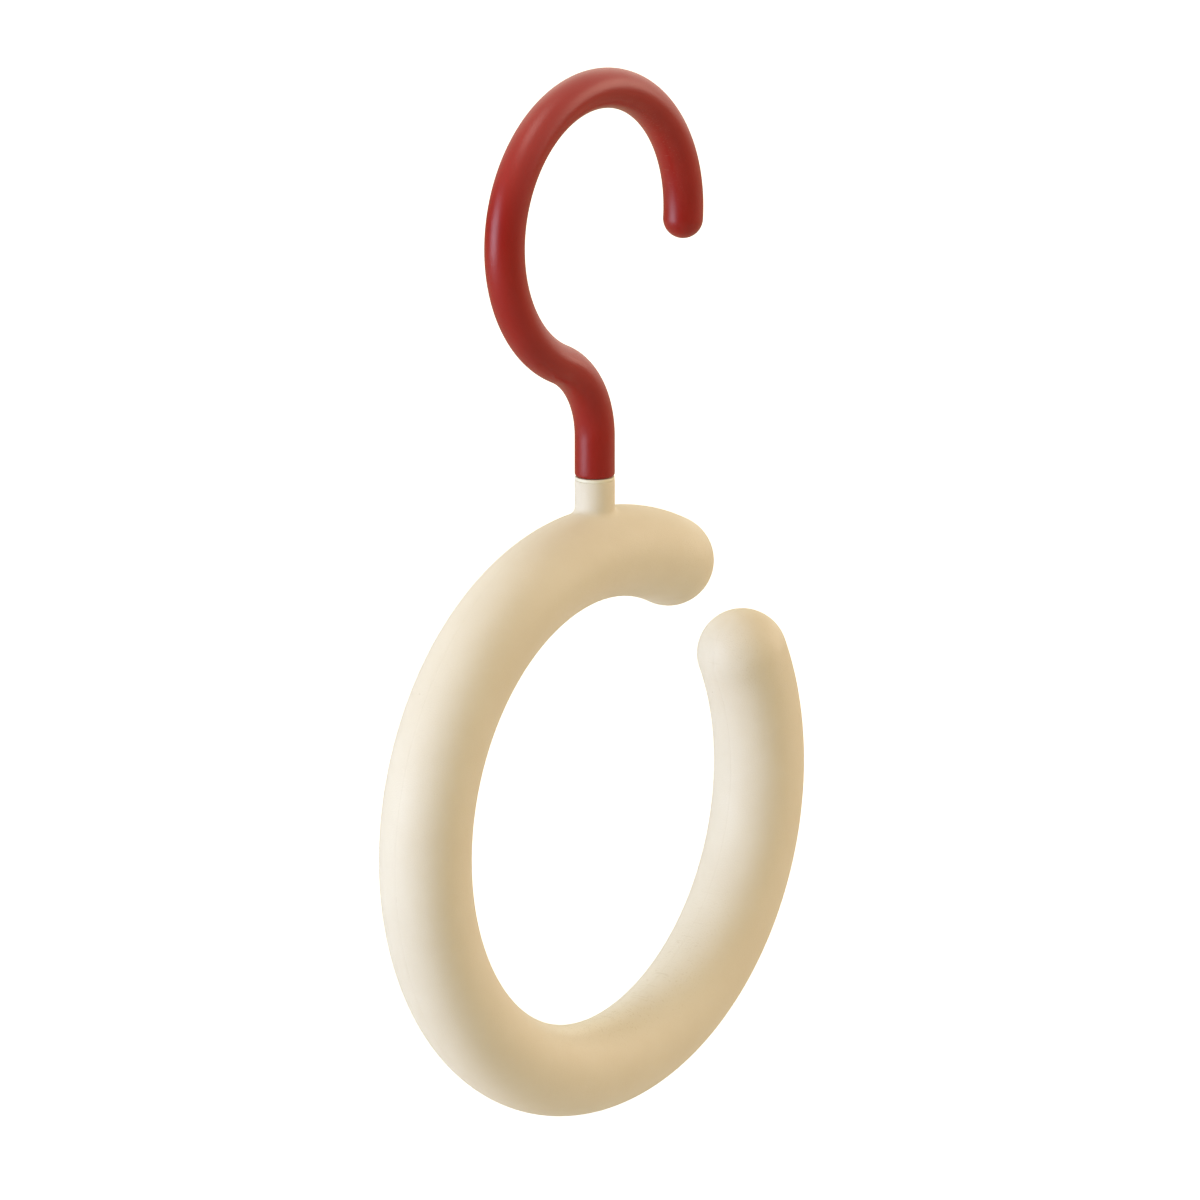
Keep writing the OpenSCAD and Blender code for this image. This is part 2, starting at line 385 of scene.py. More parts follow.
@dataclass(frozen=True)
class MouldedPlastic:
    """A moulded plastic, satin from its mould's texture."""

    name: str
    colour: tuple
    deep: tuple
    rubbed: tuple
    scratched: tuple
    speck: tuple
    roughness: float
    polish: float
    specular: float
    bump_mm: float
    speck_size: float
    rub_share: float = 0.5
    scratch_share: float = 0.4
    scratch_rough: float = 0.12
    scratch_depth: float = 0.35
    patch_rough: float = 0.07
    glow: float = 0.0
    glow_mm: tuple = (3.0, 2.0, 1.0)

    def build(self, effects: Effects) -> bpy.types.Material:
        """Makes the material.

        Args:
            effects: The shared node groups.

        Returns:
            The material. Its colour drifts slowly, is lighter where rubbed and has sparse specks.
        """
        material, graph = new_material(self.name)
        place = graph.add("TexCoord").outputs["Object"]
        rub = graph.add("Attribute", attribute_name="rub").outputs["Fac"]
        skin = effects.texture.place(graph, Vector=place)
        marks = effects.marks.place(graph, Vector=place, Rub=rub)
        rubbed, scratch = marks["Rubbed"], marks["Scratch"]
        specks = effects.specks.place(graph, Vector=place, Size=self.speck_size)
        worn = graph.math("MULTIPLY", rubbed, self.rub_share)
        cut = graph.math("MULTIPLY", scratch, self.scratch_share)
        colour = graph.mix(skin["Patch"], self.colour, self.deep)
        colour = graph.mix(worn, colour, self.rubbed)
        colour = graph.mix(cut, colour, self.scratched)
        colour = graph.mix(specks["Speck"], colour, self.speck)
        smoothest = self.roughness - self.patch_rough / 2
        rough = graph.math("MULTIPLY_ADD", skin["Patch"], self.patch_rough, smoothest)
        rough = graph.math("MULTIPLY_ADD", rubbed, self.polish - self.roughness, rough)
        rough = graph.math("MULTIPLY_ADD", scratch, self.scratch_rough, rough, clamp=True)
        height = graph.math("MULTIPLY_ADD", scratch, -self.scratch_depth, skin["Height"])
        bump = graph.value("Bump", {"Height": height, "Distance": self.bump_mm * MM})
        inputs = {
            "Base Color": colour,
            "Roughness": rough,
            "Normal": bump,
            "Specular IOR Level": self.specular,
            "Subsurface Weight": self.glow,
            "Subsurface Radius": self.glow_mm,
            "Subsurface Scale": MM,
        }
        graph.add("OutputMaterial", {"Surface": graph.value("BsdfPrincipled", inputs)})
        return material


@dataclass(frozen=True)
class WorkedMetal:
    """A steel with the lines of its making and slow stains."""

    name: str
    colour: tuple
    stained: tuple
    roughness: float
    lines_per_m: float
    stretch: tuple
    bump_mm: float
    line_rough: float = 0.16
    stain_rough: float = 0.14

    def build(self, effects: Effects) -> bpy.types.Material:
        """Makes the material.

        Args:
            effects: The shared node groups.

        Returns:
            The material, duller and darker in the stains.
        """
        material, graph = new_material(self.name)
        place = graph.add("TexCoord").outputs["Object"]
        work = effects.lines.place(
            graph, Vector=place, Stretch=self.stretch, Lines_per_m=self.lines_per_m
        )
        colour = graph.mix(work["Stain"], self.colour, self.stained)
        smoothest = self.roughness - self.line_rough / 2
        rough = graph.math("MULTIPLY_ADD", work["Line"], self.line_rough, smoothest)
        rough = graph.math("MULTIPLY_ADD", work["Stain"], self.stain_rough, rough, clamp=True)
        bump = graph.value("Bump", {"Height": work["Line"], "Distance": self.bump_mm * MM})
        inputs = {
            "Base Color": colour,
            "Roughness": rough,
            "Metallic": 1.0,
            "Normal": bump,
        }
        graph.add("OutputMaterial", {"Surface": graph.value("BsdfPrincipled", inputs)})
        return material


FINISHES = {
    Slot.RED: MouldedPlastic(
        "red satin plastic",
        colour=(0.330, 0.0067, 0.0047), deep=(0.296, 0.0056, 0.0042),
        rubbed=(0.360, 0.014, 0.0095), scratched=(0.420, 0.085, 0.065),
        speck=(0.180, 0.008, 0.006), speck_size=0.03,
        roughness=0.36, polish=0.30, specular=0.40, bump_mm=0.040,
    ),
    Slot.CREAM: MouldedPlastic(
        "cream satin plastic",
        colour=(0.840, 0.775, 0.700), deep=(0.820, 0.750, 0.670),
        rubbed=(0.850, 0.793, 0.725), scratched=(0.700, 0.620, 0.520),
        speck=(0.420, 0.330, 0.210), speck_size=0.035,
        roughness=0.5, polish=0.36, specular=0.22, bump_mm=0.070,
    ),
    Slot.IVORY: MouldedPlastic(
        "ivory acetal",
        colour=(0.900, 0.860, 0.770), deep=(0.870, 0.825, 0.725),
        rubbed=(0.920, 0.890, 0.820), scratched=(0.800, 0.740, 0.640),
        speck=(0.500, 0.420, 0.300), speck_size=0.02,
        roughness=0.38, polish=0.28, specular=0.45, bump_mm=0.006,
    ),
    Slot.NYLON: MouldedPlastic(
        "natural nylon",
        colour=(0.780, 0.760, 0.680), deep=(0.730, 0.700, 0.600),
        rubbed=(0.820, 0.805, 0.740), scratched=(0.700, 0.680, 0.600),
        speck=(0.400, 0.360, 0.280), speck_size=0.05,
        roughness=0.42, polish=0.3, specular=0.5, bump_mm=0.008, glow=0.3,
    ),
    Slot.BRIGHT: WorkedMetal(
        "drawn bright steel",
        colour=(0.620, 0.630, 0.650), stained=(0.470, 0.460, 0.450),
        roughness=0.3, lines_per_m=5200.0, stretch=(1.0, 1.0, 0.05), bump_mm=0.004,
    ),
    Slot.SPRING: WorkedMetal(
        "phosphated spring steel",
        colour=(0.200, 0.200, 0.215), stained=(0.120, 0.115, 0.110),
        roughness=0.52, lines_per_m=3800.0, stretch=(0.1, 1.0, 1.0), bump_mm=0.006,
    ),
}
Finishes = dict[Slot, bpy.types.Material]


def make_finishes() -> Finishes:
    """Returns the materials by slot, built on one set of shared effects."""
    effects = Effects(mould_texture(), handling_marks(), fine_specks(), drawn_lines())
    return {slot: finish.build(effects) for slot, finish in FINISHES.items()}


# The object


@dataclass(frozen=True)
class Heights:
    """Levels down the swivel axis, in millimetres from the seat inside the hook."""

    sleeve_end: float = -67.4323
    washer_top: float = -67.4823
    neck_top: float = -68.1323
    boss_end: float = -77.2644
    ring_centre: float = -129.8823


@dataclass
class Piece:
    """What the new pieces share: levels, finishes, rubbed places, and how they are settled."""

    heights: Heights
    finishes: Finishes

    def rub(self, places: np.ndarray) -> np.ndarray:
        """Returns how much each place is rubbed, from 0 to 1: here not at all."""
        return np.zeros(len(places))

    def settle(self, piece: bpy.types.Object, body: str, node: str, slot: Slot) -> None:
        """Marks the rubbed places, dresses the piece and puts it on its body.

        Args:
            piece: The mesh object.
            body: The CAD body that it moves with.
            node: The CAD node that it replaces.
            slot: The record's slot that it takes its finish from.
        """
        layer = piece.data.attributes.new("rub", "FLOAT", "POINT")
        layer.data.foreach_set("value", self.rub(vertex_places(piece)).astype(np.float32))
        piece.data.materials.append(self.finishes[slot])
        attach(piece, body)
        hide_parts(node)


@dataclass
class Hook(Piece):
    """The moulded hook: a large arc, a bend and a short straight foot, on a steel core."""

    rod_r: float = 3.65
    bore_r: float = 2.02
    arc_r: float = 25.4
    bend_r: float = 16.3
    tip_angle: float = 95.0
    edge_r: float = 0.6
    columns: int = 72
    arc_steps: int = 168
    bend_steps: int = 34
    dome_steps: int = 18
    foot_steps: int = 6
    edge_steps: int = 8
    bore_steps: int = 4
    crease_deg: float = 50.0
    rub_depth: tuple = (0.5, 3.4)
    rub_rise: tuple = (-6.0, 16.0)
    tip_reach: tuple = (24.0, 29.5)
    tip_drop: tuple = (16.0, 26.0)
    tip_rub: float = 0.7

    @property
    def arc_z(self) -> float:
        """Returns the height of the large arc's centre."""
        return -(self.arc_r - self.rod_r)

    def rows(self, centre: np.ndarray, normal: np.ndarray, radius: np.ndarray) -> np.ndarray:
        """Returns rows of the outline: centre x and z, normal x and z, and radius."""
        sizes = np.broadcast_to(radius, len(centre))
        return np.column_stack([centre, np.broadcast_to(normal, centre.shape), sizes])

    def foot(self, level: np.ndarray, radius: np.ndarray) -> np.ndarray:
        """Returns rows of the outline that lie on the swivel axis."""
        return self.rows(np.column_stack([np.zeros_like(level), level]), (-1.0, 0.0), radius)

    def arc(self, flip: float, centre: tuple, radius: float, angles: np.ndarray) -> tuple:
        """Returns places and normals on an arc; flip is -1 where normals point to its centre."""
        outward = np.column_stack([np.cos(angles), np.sin(angles)])
        return np.array(centre) + radius * outward, flip * outward

    def outline(self) -> np.ndarray:
        """Lays the closed outline from the tip's pole down the outside and up the bore.

        The large arc and the bend touch, because their centres lie arc_r + bend_r apart. The
        bend's centre is level with the foot's upper end and bend_r beside the swivel axis.

        Returns:
            Rows of centre x, centre z, normal x, normal z and radius.
        """
        drop = math.sqrt(self.arc_r**2 + 2 * self.arc_r * self.bend_r)
        bend_z = self.arc_z - drop
        join = math.atan2(drop, self.bend_r)
        start = math.radians(90 - self.tip_angle)
        long_arc = np.linspace(start, math.pi + join, self.arc_steps + 1)
        short_arc = np.linspace(join, 0, self.bend_steps + 1)[1:]
        centre, normal = self.arc(1, (0, self.arc_z), self.arc_r, long_arc)
        bend, bend_normal = self.arc(-1, (-self.bend_r, bend_z), self.bend_r, short_arc)
        path, normals = np.concatenate([centre, bend]), np.concatenate([normal, bend_normal])
        back = np.array([math.sin(start), -math.cos(start)])
        dome = np.linspace(math.pi / 2, 0, self.dome_steps + 1)[:-1]
        pole = centre[0] + np.outer(np.sin(dome), back) * self.rod_r
        end = self.heights.sleeve_end
        straight = np.linspace(bend_z, end + self.edge_r, self.foot_steps + 1)[1:]
        turn = np.linspace(0, math.pi / 2, self.edge_steps + 1)[1:]
        edge_z = end + self.edge_r * (1 - np.sin(turn))
        edge_radius = self.rod_r - self.edge_r * (1 - np.cos(turn))
        bore_z = np.linspace(end, bend_z, self.bore_steps + 1)[:-1]
        parts = [
            self.rows(pole, normal[0], self.rod_r * np.cos(dome)),
            self.rows(path, normals, self.rod_r),
            self.foot(straight, self.rod_r),
            self.foot(edge_z, edge_radius),
            self.foot(bore_z, self.bore_r),
            self.rows(path[::-2], normals[::-2], self.bore_r),
            self.rows(path[:1], normals[:1], 0.0),
        ]
        return np.concatenate(parts)

    def rub(self, places: np.ndarray) -> np.ndarray:
        """Finds the rubbed places: inside the top of the arc, and at the tip.

        Args:
            places: Points in millimetres.

        Returns:
            A share from 0 to 1 for each point.
        """
        radius = np.hypot(places[:, 0], places[:, 2] - self.arc_z)
        inside = soft_step(self.arc_r - radius, *self.rub_depth)
        high = soft_step(places[:, 2] - self.arc_z, *self.rub_rise)
        tip = soft_step(places[:, 0], *self.tip_reach) * soft_step(-places[:, 2], *self.tip_drop)
        return np.maximum(inside * high, self.tip_rub * tip)

    def build(self) -> None:
        """Carries a circle along the outline, and settles the sleeve.

        A point is the row's centre, plus the radius times cos(a) along the normal in the plane of
        the hook and sin(a) along Y.
        """
        x, z, normal_x, normal_z, radius = self.outline().T[:, :, None]
        turn = np.linspace(0, 2 * math.pi, self.columns, endpoint=False)
        across = radius * np.cos(turn)
        grid = np.stack([x + across * normal_x, radius * np.sin(turn), z + across * normal_z], -1)
        surface = Surface()
        surface.add(grid, wrap=True)
        piece = surface.build("hook_sleeve_skin", self.crease_deg)
        self.settle(piece, "hook", "hook_sleeve", Slot.RED)


@dataclass
class Washer(Piece):
    """The thin thrust washer between hook and neck."""

    bore_r: float = 2.05
    outer_r: float = 3.6
    edge_r: float = 0.14
    columns: int = 96
    corner_steps: int = 4
    crease_deg: float = 50.0

    def build(self) -> None:
        """Turns a rectangle with rounded corners round the axis: (r cos a, r sin a, z)."""
        turn = np.linspace(0, math.pi / 2, self.corner_steps + 1)
        run, rise = self.edge_r * (1 - np.cos(turn)), self.edge_r * (1 - np.sin(turn))
        low, high = self.heights.neck_top, self.heights.washer_top
        inner, outer = self.bore_r, self.outer_r
        radius = np.concatenate([outer - rise, outer - run, inner + rise, inner + run])
        level = np.concatenate([low + run, high - rise, high - run, low + rise])
        angle = np.linspace(0, 2 * math.pi, self.columns, endpoint=False)
        around = np.stack([np.cos(angle), np.sin(angle), np.ones_like(angle)], -1)
        grid = np.stack([radius, radius, level], -1)[:, None] * around
        surface = Surface()
        surface.add(np.concatenate([grid, grid[:1]]), wrap=True)
        piece = surface.build("thrust_washer_skin", self.crease_deg)
        self.settle(piece, "ring", "thrust_washer", Slot.IVORY)


class Stretch(Enum):
    """What a stretch of the ring's length carries."""

    PLAIN = "plain"
    PIN = "pin"
    CROWN = "crown"


# A stretch of the seam as (x, z): its outer line, its inner line and its outward normals.
Contour = tuple[np.ndarray, np.ndarray, np.ndarray]


@dataclass
class Ring(Piece):
    """The open ring: two hollow shells with domed ends, half a neck each, and a tongued seam.

    Points are (x, depth, z) from the ring's centre, and depth grows away from the seam's plane.
    theta is the angle round the ring and phi the angle round the tube, from its outer side.
    """

    ring_r: float = 47.9
    tube_r: float = 8.35
    hollow_r: float = 6.35
    first_deg: float = 63.8
    last_deg: float = 386.6
    crown_deg: float = 9.0
    crown_rows: int = 18
    step_deg: float = 1.5
    columns: int = 48
    dome_steps: int = 36
    crease_deg: float = 40.0
    neck_r: float = 3.65
    neck_edge_r: float = 0.12
    fillet_r: float = 1.4
    bore_r: float = 2.67
    boss_r: float = 5.15
    patch_rows: int = 8
    patch_power: float = 0.85
    fillet_steps: int = 10
    wall_steps: int = 4
    edge_steps: int = 3
    bore_steps: int = 9
    face_steps: int = 6
    boss_steps: int = 3
    seam_edge_r: float = 0.025
    tongue_w: float = 0.7
    tongue_h: float = 0.8
    groove_clear: float = 0.05
    bare_half: float = 9.58
    thin_shares: tuple = (0.3, 0.7)
    hoop_h: float = 1.8
    hoop_half_deg: float = 0.718
    hoops_deg: tuple = (77.22, 102.78, 136.46, 189.38, 242.3, 295.22, 348.14)
    pins_deg: tuple = (70.51, 110.0, 162.92, 215.84, 268.76, 321.68, 374.6)
    pin_half_deg: float = 3.83
    pin_columns: int = 10
    pin_rows: int = 5
    pin_r: float = 1.0
    pin_h: float = 2.6
    pin_edge: tuple = ((0.0, 0.3), (0.1, 0.09), (0.3, 0.0))
    pin_boss_r: float = 2.15
    socket_clear: float = 0.05
    socket_extra: float = 0.3
    rub_depth: tuple = (1.0, 8.0)
    rub_drop: tuple = (12.0, 42.0)
    end_reach: tuple = (4.0, 13.0)
    end_rub: float = 0.6

    def tube(self, theta: np.ndarray, phi: np.ndarray, radius: np.ndarray) -> np.ndarray:
        """Returns points ring_r + radius cos(phi) from the ring's centre, radius sin(phi) deep."""
        reach, depth = self.ring_r + radius * np.cos(phi), radius * np.sin(phi) + 0 * theta
        return np.stack([reach * np.cos(theta), depth, reach * np.sin(theta)], -1)

    def tube_angles(self, points: np.ndarray) -> np.ndarray:
        """Returns theta and phi of points near the tube, the inverse of tube()."""
        x, depth, z = np.moveaxis(points, -1, 0)
        return np.stack([np.arctan2(z, x), np.arctan2(depth, np.hypot(x, z) - self.ring_r)], -1)

    def full_grid(self, theta: np.ndarray, radius: np.ndarray, low: int, high: int) -> np.ndarray:
        """Returns the tube's own grid over theta, between two columns of phi."""
        phi = np.arange(low, high + 1) * math.pi / self.columns
        return self.tube(theta[:, None], phi, np.broadcast_to(radius, theta.shape)[:, None])

    def spans(self) -> list[tuple[Stretch, np.ndarray]]:
        """Splits the ring's length into plain stretches, stretches with a pin, and the crown.

        Returns:
            Kind and theta, in order. A hoop's edges stand twice, a hair apart.
        """
        hair = 1e-9
        crown, half = self.crown_deg, self.pin_half_deg
        marked = [(pin - half, pin + half, Stretch.PIN) for pin in self.pins_deg]
        marked = sorted([*marked, (90 - crown, 90 + crown, Stretch.CROWN)])
        edges = np.array([(h - self.hoop_half_deg, h + self.hoop_half_deg) for h in self.hoops_deg])
        spans, at = [], self.first_deg
        for low, high, kind in [*marked, (self.last_deg, self.last_deg, None)]:
            steps = max(1, round((low - at) / self.step_deg))
            inside = edges[(edges > at) & (edges < low)]
            plain = [np.linspace(at, low, steps + 1), inside - hair, inside + hair]
            spans.append((Stretch.PLAIN, np.radians(np.sort(np.concatenate(plain)))))
            if kind is not None:
                steps = round((high - low) / self.step_deg)
                spans.append((kind, np.radians(np.linspace(low, high, steps + 1))))
            at = high
        return spans

    def hollow(self, theta: np.ndarray) -> np.ndarray:
        """Returns the hollow's radius: hollow_r, less hoop_h inside a hoop."""
        off = np.abs(theta[:, None] - np.radians(self.hoops_deg)).min(1)
        return self.hollow_r - self.hoop_h * (off < math.radians(self.hoop_half_deg))

    def rectangle(self, theta: np.ndarray, low: int, high: int, closed: bool) -> np.ndarray:
        """Goes round a rectangle of the tube's own grid.

        Args:
            theta: The grid's theta.
            low: First column of phi.
            high: Last column of phi.
            closed: Whether the side at low belongs to it.

        Returns:
            theta and phi of the points.
        """
        phi = np.arange(low, high + 1) * math.pi / self.columns
        up = np.column_stack([np.full_like(phi, theta[0]), phi])
        over = np.column_stack([theta, np.full_like(theta, phi[-1])])[1:]
        down = np.column_stack([np.full_like(phi, theta[-1]), phi[::-1]])[1:]
        back = np.column_stack([theta[::-1], np.full_like(theta, phi[0])])[1:-1]
        return np.concatenate([up, over, down, back] if closed else [up, over, down])

    def patch(self, rim: np.ndarray, corner: np.ndarray, radius: float, rows: int) -> np.ndarray:
        """Lays the tube's surface between a rectangle and the rim of a hole in it.

        Row i lies (i / rows) to the power patch_power of the way from rectangle to rim, in the
        plane of the two angles.

        Args:
            rim: theta and phi of the hole's rim.
            corner: theta and phi of the rectangle, point for point.
            radius: The surface's radius.
            rows: Steps between the two.

        Returns:
            Points by row and along the rim.
        """
        share = (np.linspace(0, 1, rows + 1) ** self.patch_power)[:, None, None]
        angles = corner[None] * (1 - share) + rim[None] * share
        return self.tube(angles[..., 0], angles[..., 1], radius)

    def tube_height(self, x: np.ndarray, depth: np.ndarray, radius: float) -> np.ndarray:
        """Returns z of a tube's upper side over (x, depth), from its torus equation."""
        side = np.sqrt(np.maximum(radius**2 - depth**2, 0))
        return np.sqrt((self.ring_r + side) ** 2 - x**2)

    def boss_rim(self, angle: np.ndarray, level: float) -> np.ndarray:
        """Finds where the boss's face ends.

        That is at boss_r, or nearer where the hollow's own wall already lies lower. The place is
        found by halving a span again and again.

        Args:
            angle: Angles round the neck.
            level: The face's height.

        Returns:
            A radius for each angle.
        """
        halvings = 40
        low, high = np.full_like(angle, self.bore_r), np.full_like(angle, self.boss_r)
        for _ in range(halvings):
            middle = (low + high) / 2
            depth = middle * np.sin(angle)
            above = self.tube_height(middle * np.cos(angle), depth, self.hollow_r) > level
            low, high = np.where(above, middle, low), np.where(above, high, middle)
        return high

    def neck_grid(self, theta: np.ndarray) -> np.ndarray:
        """Lays the neck, from the crown's outside over the neck's top to its inside.

        The fillet is the path of a ball that rolls between neck and tube. At each angle round the
        neck its centre lies neck_r + fillet_r from the axis and tube_r + fillet_r from the tube's
        centre line, and the row's points turn from one touching point to the other. As many rows
        come before the mouth's edge as after it.

        Args:
            theta: The crown's angles round the ring.

        Returns:
            Points by row and by angle round the neck.
        """
        corner = self.rectangle(theta, 0, self.crown_rows, False)
        flat = self.tube(corner[:, 0], corner[:, 1], self.tube_r)
        angle = np.arctan2(flat[:, 1], flat[:, 0])
        cos, sin, zero = np.cos(angle), np.sin(angle), np.zeros_like(angle)
        reach = self.neck_r + self.fillet_r
        x, depth = reach * cos, reach * sin
        level = self.tube_height(x, depth, self.tube_r + self.fillet_r)
        ball = np.stack([x, depth, level], -1)
        ring = np.hypot(x, level)
        line = np.stack([self.ring_r * x / ring, zero, self.ring_r * level / ring], -1)
        touch = line + (ball - line) * self.tube_r / (self.tube_r + self.fillet_r)
        outside = self.patch(self.tube_angles(touch), corner, self.tube_r, self.patch_rows)
        first = (touch - ball) / self.fillet_r
        last = np.stack([-cos, -sin, zero], -1)
        span = np.arccos(np.clip((first * last).sum(-1), -1, 1))[None, :, None]
        share = np.linspace(0, 1, self.fillet_steps + 1)[1:, None, None]
        turned = first * np.sin((1 - share) * span) + last * np.sin(share * span)
        fillet = ball + self.fillet_r * turned / np.sin(span)
        top = self.heights.neck_top - self.heights.ring_centre
        boss = self.heights.boss_end - self.heights.ring_centre
        edge = self.neck_edge_r

        def collar(radius: np.ndarray, height: np.ndarray) -> np.ndarray:
            """Returns rows at radii and heights, which may vary with the angle."""
            wide, tall = (np.broadcast_to(v, (len(height), len(angle))) for v in (radius, height))
            return np.stack([wide * cos, wide * sin, tall], -1)

        def upto(end: float, steps: int) -> np.ndarray:
            """Returns a column of equal steps from 0 to end, without the 0."""
            return np.linspace(0, end, steps + 1)[1:, None]

        turn = upto(math.pi / 2, self.edge_steps)
        rim = self.boss_rim(angle, boss)
        roof = np.maximum(self.tube_height(rim * cos, rim * sin, self.hollow_r), boss)
        wall = collar(self.neck_r, level + (top - edge - level) * upto(1, self.wall_steps))
        lip = collar(self.neck_r - edge * (1 - np.cos(turn)), top - edge * (1 - np.sin(turn)))
        mouth = collar(self.bore_r, np.full((1, 1), top))
        bore = collar(self.bore_r, np.linspace(top, boss, self.bore_steps + 1)[1:, None])
        spread = self.bore_r + (rim - self.bore_r) * upto(1, self.face_steps)
        face = collar(spread, np.full((self.face_steps, 1), boss))
        boss_wall = collar(rim, boss + (roof - boss) * upto(1, self.boss_steps))
        hole = self.tube_angles(boss_wall[-1])
        inside = self.patch(hole, corner, self.hollow_r, self.patch_rows)[::-1][1:]
        return np.concatenate([outside, fillet, wall, lip, mouth, bore, face, boss_wall, inside])

    def pin_grid(self, theta: np.ndarray, low: int, high: int, side: Side) -> np.ndarray:
        """Lays the hollow's wall round a pin's boss, the boss, and its pin or socket.

        The boss is a cylinder along the depth. Its foot follows the hollow: the depth there is
        the root of hollow_r squared less the square of the distance from the tube's middle. Whole
        turns are taken from the rectangle's theta, so that it runs as the foot's does.

        Args:
            theta: The stretch's angles round the ring.
            low: First column of phi.
            high: Last column of phi.
            side: Which shell it is.

        Returns:
            Points by row and by angle round the pin.
        """
        corner = self.rectangle(theta, low, high, True)
        middle = (theta[0] + theta[-1]) / 2
        reach = self.ring_r + self.hollow_r * np.cos(corner[:, 1])
        out = reach * np.cos(corner[:, 0] - middle) - self.ring_r
        angle = np.arctan2(reach * np.sin(corner[:, 0] - middle), out)
        radial = np.array([math.cos(middle), 0, math.sin(middle)])
        tangent = np.array([-math.sin(middle), 0, math.cos(middle)])

        def circle(radius: float, depth: np.ndarray) -> np.ndarray:
            """Lays one row round the pin's axis.

            Args:
                radius: The row's radius.
                depth: One depth, or one for each angle.

            Returns:
                The row's points.
            """
            place = (self.ring_r + radius * np.cos(angle))[:, None] * radial
            place = place + (radius * np.sin(angle))[:, None] * tangent
            place[:, 1] = depth
            return place

        foot = circle(self.pin_boss_r, 0)
        off = np.hypot(foot[:, 0], foot[:, 2]) - self.ring_r
        foot[:, 1] = np.sqrt(self.hollow_r**2 - off**2)
        at = np.arctan2(foot[:, 2].mean(), foot[:, 0].mean())
        turns = np.round((corner[:, 0].mean() - at) / (2 * math.pi))
        corner[:, 0] -= turns * 2 * math.pi
        wall = self.patch(self.tube_angles(foot), corner, self.hollow_r, self.pin_rows)
        rise = [circle(self.pin_boss_r, foot[:, 1] * share) for share in (2 / 3, 1 / 3, 0)]
        if side is Side.FRONT:
            tip = [(self.pin_r - inset, height - self.pin_h) for inset, height in self.pin_edge]
            steps = [(self.pin_r, 0), *tip, (0, -self.pin_h)]
        else:
            wide, deep = self.pin_r + self.socket_clear, self.pin_h + self.socket_extra
            steps = [(wide, 0), (wide, deep), (0, deep)]
        return np.concatenate([wall, np.stack(rise), np.stack([circle(*step) for step in steps])])

    def dome(self, theta: float, way: float, radius: float) -> np.ndarray:
        """Lays a quarter of a ball that closes the tube's end, turned about the depth's axis.

        Args:
            theta: Angle of the end.
            way: 1 if the dome points along growing theta, otherwise -1.
            radius: The ball's radius.

        Returns:
            Points by turn and by height angle, from the seam's plane to the pole.
        """
        turn = np.linspace(0, math.pi, self.dome_steps + 1)[:, None]
        lift = np.linspace(0, math.pi / 2, self.columns // 2 + 1)[None, :]
        along = way * radius * np.cos(lift) * np.sin(turn)
        reach = self.ring_r + radius * np.cos(lift) * np.cos(turn)
        x = reach * math.cos(theta) - along * math.sin(theta)
        z = reach * math.sin(theta) + along * math.cos(theta)
        return np.stack([x, radius * np.sin(lift) + 0 * turn, z], -1)

    def side_contour(self, theta: np.ndarray, phi: float) -> Contour:
        """Follows the seam along the ring's outer side, phi 0, or its inner side, phi pi.

        Args:
            theta: Angles round the ring.
            phi: Angle round the tube.

        Returns:
            The seam's stretch.
        """
        phis = np.full_like(theta, phi)
        outer = self.tube(theta, phis, self.tube_r)
        inner = self.tube(theta, phis, self.hollow(theta))
        normal = np.stack([np.cos(theta), np.sin(theta)], -1) * math.cos(phi)
        return outer[:, [0, 2]], inner[:, [0, 2]], normal

    def dome_contour(self, theta: float, way: float) -> Contour:
        """Returns the seam's stretch round a domed end."""
        ends = [self.dome(theta, way, r)[:, 0][:, [0, 2]] for r in (self.tube_r, self.hollow_r)]
        return *ends, (ends[0] - ends[1]) / (self.tube_r - self.hollow_r)

    def neck_contour(self, neck: np.ndarray, column: int) -> Contour:
        """Follows the seam on one side of the neck, from its top outwards.

        Args:
            neck: The neck's grid, with the mouth's edge in its middle row.
            column: First or last column, 0 or -1.

        Returns:
            The seam's stretch.
        """
        line = neck[:, column][:, [0, 2]]
        middle = len(line) // 2
        outer, inner = line[middle::-1], line[middle:]
        step = np.gradient(outer, axis=0)
        step /= np.linalg.norm(step, axis=1, keepdims=True)
        way = 1.0 if column == 0 else -1.0
        return outer, inner, way * np.stack([-step[:, 1], step[:, 0]], -1)

    def seam(self, spans: list, neck: np.ndarray, side: Side) -> np.ndarray:
        """Lays the seam's face: a ruled surface between the shell's outer and inner lines.

        It starts at the rounded outer edge, and carries the tongue, or the groove, in its middle.
        The neck stays flat. Where the wall is thinner than the shell's own, the sides of what the
        seam carries lie at thin_shares of it.

        Args:
            spans: The ring's stretches.
            neck: The neck's grid.
            side: Which shell it is.

        Returns:
            Points along the seam and across it.
        """
        theta = np.concatenate([span for _, span in spans])
        crown, half_crown = math.pi / 2, math.radians(self.crown_deg)
        right = theta[theta < crown - half_crown + TINY]
        left = theta[theta > crown + half_crown - TINY]
        parts = [
            self.neck_contour(neck, 0),
            self.side_contour(right[::-1], 0.0),
            self.dome_contour(theta[0], -1.0),
            self.side_contour(theta, math.pi),
            tuple(part[::-1] for part in self.dome_contour(theta[-1], 1.0)),
            self.side_contour(left[::-1], 0.0),
            tuple(part[::-1] for part in self.neck_contour(neck, -1)),
        ]
        outer, inner, normal = (np.concatenate(items) for items in zip(*parts))
        wall = np.linalg.norm(outer - inner, axis=1)
        edge = self.seam_edge_r * (wall > WELD_MM)
        grow = 0.0 if side is Side.FRONT else self.groove_clear
        half = self.tongue_w / 2 + grow
        height = -self.tongue_h if side is Side.FRONT else self.tongue_h + 2 * grow
        bare = (outer[:, 1] > self.ring_r) & (np.abs(outer[:, 0]) < self.bare_half)
        carried = np.where(bare, 0.0, height)
        shell_wall = self.tube_r - self.hollow_r
